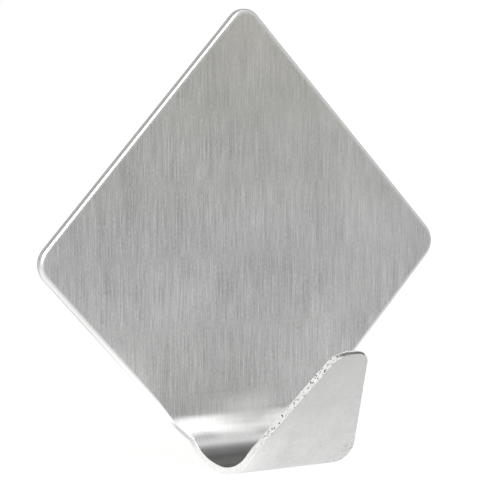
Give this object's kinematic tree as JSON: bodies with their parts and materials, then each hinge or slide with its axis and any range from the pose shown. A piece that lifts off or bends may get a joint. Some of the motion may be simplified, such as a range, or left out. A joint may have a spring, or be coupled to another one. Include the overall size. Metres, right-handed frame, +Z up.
{
  "type": "adhesive wall hook",
  "caption": "Diamond-shaped brushed steel wall hook bent from one sheet, with a lip that leans out and a double-sided foam pad under a peel-off paper liner.",
  "frame": {"origin": "middle of the plate's square, on the rear face of the liner, which is where the wall is", "axes": "+X to the right across the plate, +Y into the wall, +Z up; the lip stands out along -Y"},
  "size_m": [0.0614, 0.0244, 0.0574],
  "materials": {
    "brushed_steel": "fine vertical brushing on the front, plain mill finish on the back, sheared edges",
    "adhesive": "clear, slightly yellow, tacky film",
    "foam": "white closed-cell foam",
    "liner_paper": "smooth siliconised paper with a slight gloss"
  },
  "bodies": {
    "hook": {"steel_hook": "brushed_steel", "front_adhesive": "adhesive", "foam_core": "foam", "rear_adhesive": "adhesive"},
    "liner": {"release_liner": "liner_paper"}
  },
  "joints": [
    {"name": "liner_peel", "type": "slide", "parent": "hook", "child": "liner", "axis": [0, 1, 0], "range_m": [0, 0.03]}
  ]
}
